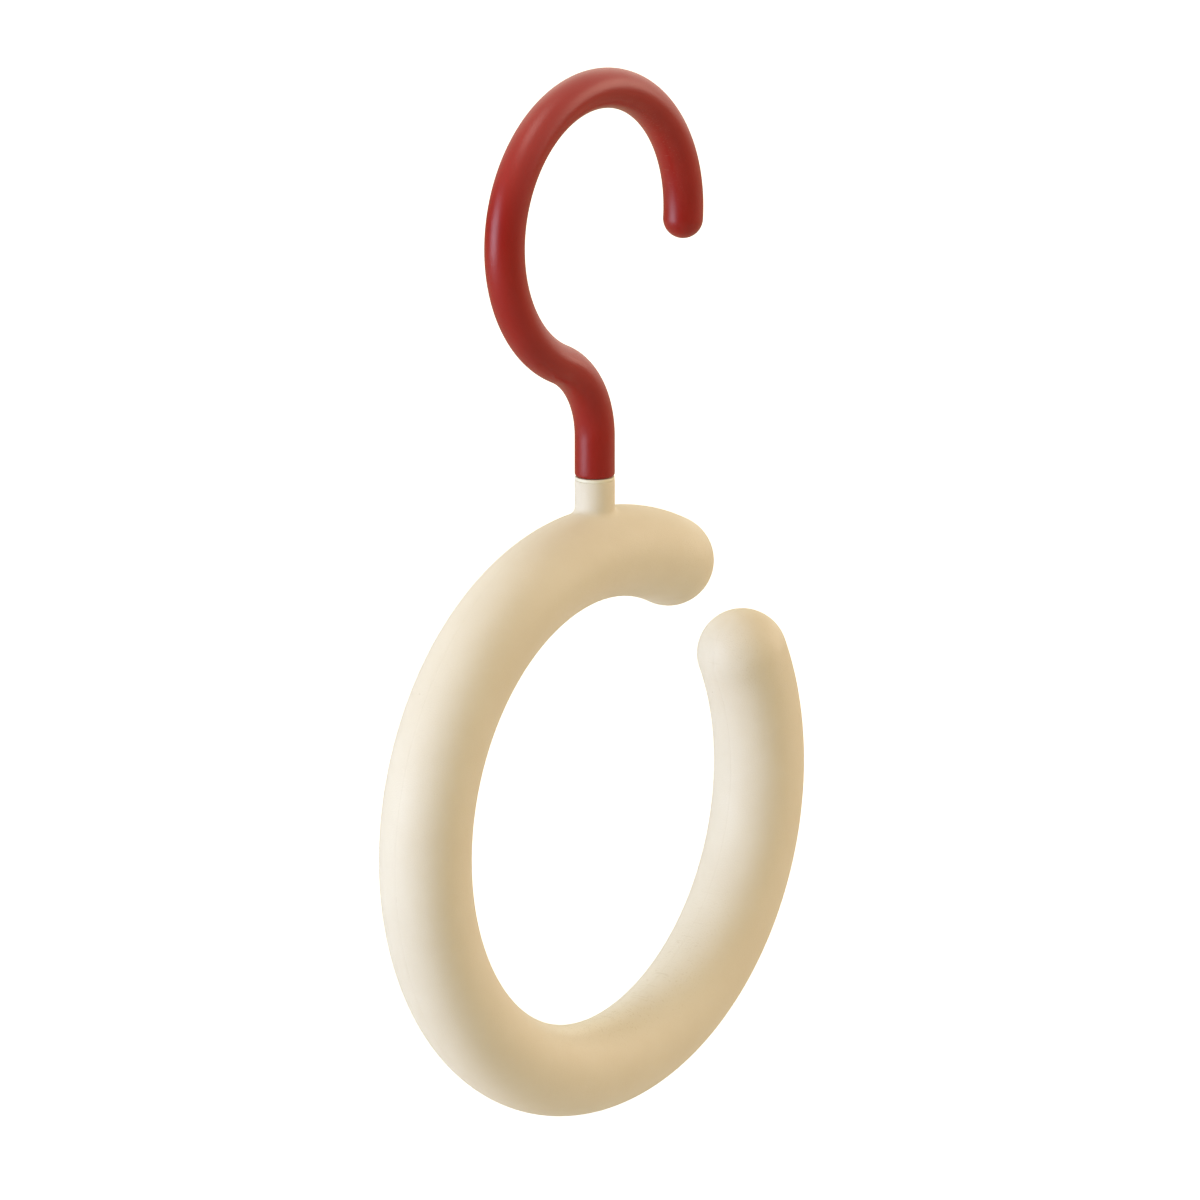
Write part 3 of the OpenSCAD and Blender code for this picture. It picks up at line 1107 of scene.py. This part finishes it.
        thin = wall < shell_wall - WELD_MM
        near = np.where(thin, wall * self.thin_shares[0], shell_wall / 2 - half)
        far = np.where(thin, wall * self.thin_shares[1], shell_wall / 2 + half)
        across = (inner - outer) / np.maximum(wall, TINY)[:, None]
        columns = []
        for turn in np.linspace(0, math.pi / 2, self.edge_steps + 1):
            place = outer - normal * (edge * (1 - math.cos(turn)))[:, None]
            columns.append(self.lift(place, edge * (1 - math.sin(turn))))
        for offset, depth in ((near, 0), (near, carried), (far, carried), (far, 0)):
            columns.append(self.lift(outer + across * offset[:, None], depth))
        columns.append(self.lift(inner, 0))
        return np.stack(columns, 1)

    def lift(self, flat: np.ndarray, depth: np.ndarray) -> np.ndarray:
        """Returns points of the seam's plane with a depth."""
        return np.stack([flat[:, 0], np.broadcast_to(depth, len(flat)), flat[:, 1]], -1)

    def sink_edge(self, grid: np.ndarray) -> np.ndarray:
        """Returns an outer grid with its points in the seam's plane moved to the rounded edge."""
        depth = np.where(np.abs(grid[..., 1]) < WELD_MM, self.seam_edge_r, grid[..., 1])
        return np.stack([grid[..., 0], depth, grid[..., 2]], -1)

    def shell(self, side: Side) -> bpy.types.Object:
        """Builds one shell: its skin, its hollow with pins and hoops, its half neck and its seam.

        Args:
            side: The front shell has the tongue and pins, the rear shell groove and sockets.

        Returns:
            The closed mesh.
        """
        spans, last = self.spans(), self.columns
        pin_low, pin_high = last // 2 - self.pin_columns, last // 2 + self.pin_columns
        grids: list[tuple[np.ndarray, bool]] = []
        neck = np.empty(0)
        for kind, theta in spans:
            start = self.crown_rows if kind is Stretch.CROWN else 0
            hollow = self.hollow(theta)
            skin = self.full_grid(theta, self.tube_r, start, last)
            grids.append((self.sink_edge(skin), False))
            if kind is Stretch.PIN:
                grids.append((self.full_grid(theta, hollow, 0, pin_low), False))
                grids.append((self.full_grid(theta, hollow, pin_high, last), False))
                grids.append((self.pin_grid(theta, pin_low, pin_high, side), True))
            else:
                grids.append((self.full_grid(theta, hollow, start, last), False))
            if kind is Stretch.CROWN:
                neck = self.neck_grid(theta)
                middle = len(neck) // 2
                joined = np.concatenate([self.sink_edge(neck[:middle]), neck[middle:]])
                grids.append((joined, False))
        for theta, way in ((spans[0][1][0], -1.0), (spans[-1][1][-1], 1.0)):
            grids.append((self.sink_edge(self.dome(theta, way, self.tube_r)), False))
            grids.append((self.dome(theta, way, self.hollow_r), False))
        grids.append((self.seam(spans, neck, side), False))
        surface = Surface()
        for grid, wrap in grids:
            placed = grid * np.array([1.0, side.value, 1.0])
            surface.add(placed + np.array([0, 0, self.heights.ring_centre]), wrap)
        name = "ring_front_skin" if side is Side.FRONT else "ring_rear_skin"
        return surface.build(name, self.crease_deg)

    def rub(self, places: np.ndarray) -> np.ndarray:
        """Finds the rubbed places: low inside the ring, and at its two ends.

        Args:
            places: Points in millimetres.

        Returns:
            A share from 0 to 1 for each point.
        """
        x, z = places[:, 0], places[:, 2] - self.heights.ring_centre
        inside = soft_step(self.ring_r - np.hypot(x, z), *self.rub_depth)
        turn = np.radians([self.first_deg, self.last_deg])[:, None]
        gap = np.hypot(x - self.ring_r * np.cos(turn), z - self.ring_r * np.sin(turn)).min(0)
        ends = 1 - soft_step(gap, *self.end_reach)
        return np.maximum(inside * soft_step(-z, *self.rub_drop), self.end_rub * ends)

    def build(self) -> None:
        """Makes and settles both shells."""
        for side, node in ((Side.FRONT, "ring_front_shell"), (Side.REAR, "ring_rear_shell")):
            self.settle(self.shell(side), "ring", node, Slot.CREAM)


class Hardware:
    """The hidden metal and nylon pieces, which keep their CAD form."""

    FINISH = {
        "hook_core": Slot.BRIGHT,
        "neck_bush": Slot.NYLON,
        "stem_washer": Slot.BRIGHT,
        "retaining_clip": Slot.SPRING,
    }

    def build(self, finishes: Finishes) -> None:
        """Gives each node the finish of its slot.

        Args:
            finishes: The materials by slot.
        """
        for name, slot in self.FINISH.items():
            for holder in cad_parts[name].material_slots:
                holder.material = finishes[slot]
            LOG.info("%s: finish %s", name, slot.value)


# The studio


def direction(azimuth: float, elevation: float) -> Vector:
    """Returns the unit vector from the object: azimuth 0 is the front, 90 the right side."""
    az, el = math.radians(azimuth), math.radians(elevation)
    return Vector((math.sin(az) * math.cos(el), -math.cos(az) * math.cos(el), math.sin(el)))


def stand(thing: bpy.types.Object, aim: Vector, back: Vector, distance: float) -> None:
    """Stands a camera or lamp so that it faces a place.

    Args:
        thing: The camera or lamp.
        aim: The place that it faces.
        back: Direction from that place to it.
        distance: Distance from that place.
    """
    thing.rotation_mode = "QUATERNION"
    thing.rotation_quaternion = back.to_track_quat("Z", "Y")
    thing.location = aim + back * distance


@dataclass(frozen=True)
class Lamp:
    """A soft square lamp that faces the object."""

    name: str
    azimuth: float
    elevation: float
    size: float
    power: float
    colour: tuple
    distance: float = 1.5

    def build(self, target: Vector) -> None:
        """Places the lamp. Azimuth and elevation are seen from the object, as a camera's are.

        Args:
            target: The place that it faces.
        """
        data = bpy.data.lights.new(self.name, "AREA")
        data.shape = "SQUARE"
        data.size = self.size
        data.energy = self.power
        data.color = self.colour
        lamp = linked(self.name, data)
        lamp.visible_camera = False
        stand(lamp, target, direction(self.azimuth, self.elevation), self.distance)


@dataclass
class Studio:
    """Camera, lamps, white surroundings and a pale floor well below the ring.

    Near the object the lamps and a little of the floor's own light make it just white, so that it
    shows the object's shadow. Farther out, where the lamps fade, it turns to plain white.
    """

    heights: Heights
    view_azimuth: float = -50.746
    view_elevation: float = 13.342
    view_distance: float = 2.3
    lens: float = 379.5
    sensor: float = 36.0
    clip: tuple = (0.1, 20.0)
    aim_right: float = 0.951
    aim_up: float = 38.307
    floor_z: float = -0.34
    floor_half: float = 4.5
    floor_lit_r: float = 0.25
    floor_white_r: float = 0.75
    floor_lift: tuple = (0.30, 0.385, 0.56)
    floor_colour: tuple = (0.85, 0.85, 0.85)
    bright_azimuth: float = 75.0
    bright_elevation: float = 70.0
    bright_span: tuple = (-0.2, 0.6)
    bright_colour: tuple = (1.0, 0.97, 0.80)
    bright_level: float = 2.1
    fill_colour: tuple = (1.0, 0.84, 0.39)
    fill_level: float = 0.43
    lamps: tuple = (
        Lamp("key", -115.7, 0.0, 0.9, 22.3, (0.67, 0.80, 1.0)),
        Lamp("top", -70.0, 72.0, 0.8, 6.6, (1.0, 0.90, 0.82)),
        Lamp("reflector", 53.0, 18.0, 0.8, 6.9, (1.0, 0.74, 0.57)),
    )

    def camera(self) -> None:
        """Sets the camera. Its axis passes the ring's centre by aim_right and aim_up."""
        back = direction(self.view_azimuth, self.view_elevation)
        turn = back.to_track_quat("Z", "Y")
        right, up = turn @ Vector((1, 0, 0)), turn @ Vector((0, 1, 0))
        centre = Vector((0, 0, self.heights.ring_centre * MM))
        aim = centre + right * self.aim_right * MM + up * self.aim_up * MM
        data = bpy.data.cameras.new("camera")
        data.sensor_width, data.lens = self.sensor, self.lens
        data.clip_start, data.clip_end = self.clip
        camera = linked("camera", data)
        stand(camera, aim, back, self.view_distance)
        bpy.context.scene.camera = camera

    def surroundings(self) -> None:
        """Makes the world: a white backdrop, and a dim warm fill on the object.

        Reflections find the room white above and at the right, and dark low on the other side.
        """
        world = bpy.data.worlds.new("surroundings")
        world.use_nodes = True
        bpy.context.scene.world = world
        graph = Graph(world.node_tree)
        sight = graph.add("TexCoord").outputs["Generated"]
        bright = direction(self.bright_azimuth, self.bright_elevation)
        facing = graph.add("VectorMath", {0: sight, 1: bright}, operation="DOT_PRODUCT")
        mirrored = graph.remap(facing.outputs["Value"], *self.bright_span, (0.0, self.bright_level))
        glossy = graph.add("LightPath").outputs["Is Glossy Ray"]
        fill = graph.value("Background", {"Color": self.fill_colour, "Strength": self.fill_level})
        room = graph.value("Background", {"Color": self.bright_colour, "Strength": mirrored})
        white = graph.value("Background", {"Color": WHITE})
        lit = graph.value("MixShader", {0: glossy, 1: fill, 2: room})
        both = graph.value("MixShader", {0: graph.seen(), 1: lit, 2: white})
        graph.add("OutputWorld", {"Surface": both})

    def floor(self) -> None:
        """Lays the floor: pale, and lifted to white where the camera sees it out of the shadow."""
        half = self.floor_half
        corners = [(-half, -half), (half, -half), (half, half), (-half, half)]
        mesh = bpy.data.meshes.new("floor")
        mesh.from_pydata([(x, y, self.floor_z) for x, y in corners], [], [(0, 1, 2, 3)])
        floor = linked("floor", mesh)
        material, graph = new_material("pale floor")
        matt = graph.value("BsdfDiffuse", {"Color": self.floor_colour})
        place = graph.add("TexCoord").outputs["Object"]
        flat = graph.value("VectorMath", {0: place, 1: (1, 1, 0)}, operation="MULTIPLY")
        away = graph.add("VectorMath", {0: flat}, operation="LENGTH").outputs["Value"]
        far = graph.remap(away, self.floor_lit_r, self.floor_white_r)
        lift = graph.value("Emission", {"Color": graph.mix(far, self.floor_lift, WHITE)})
        glow = graph.value("MixShader", {0: graph.seen(), 2: lift})
        graph.add("OutputMaterial", {"Surface": graph.value("AddShader", {0: matt, 1: glow})})
        mesh.materials.append(material)

    def build(self) -> None:
        """Sets up everything round the object."""
        bpy.context.scene.view_settings.view_transform = "Standard"
        self.camera()
        self.surroundings()
        self.floor()
        low, high = CAD_BOX
        for lamp in self.lamps:
            lamp.build((low + high) / 2)


def main() -> None:
    """Builds the studio and the object, and reports each piece."""
    logging.basicConfig(level=logging.INFO, format="%(name)s: %(message)s")
    heights = Heights()
    Studio(heights).build()
    finishes = make_finishes()
    for piece in (Hook, Washer, Ring):
        piece(heights, finishes).build()
    Hardware().build(finishes)


if __name__ == "__main__":
    main()
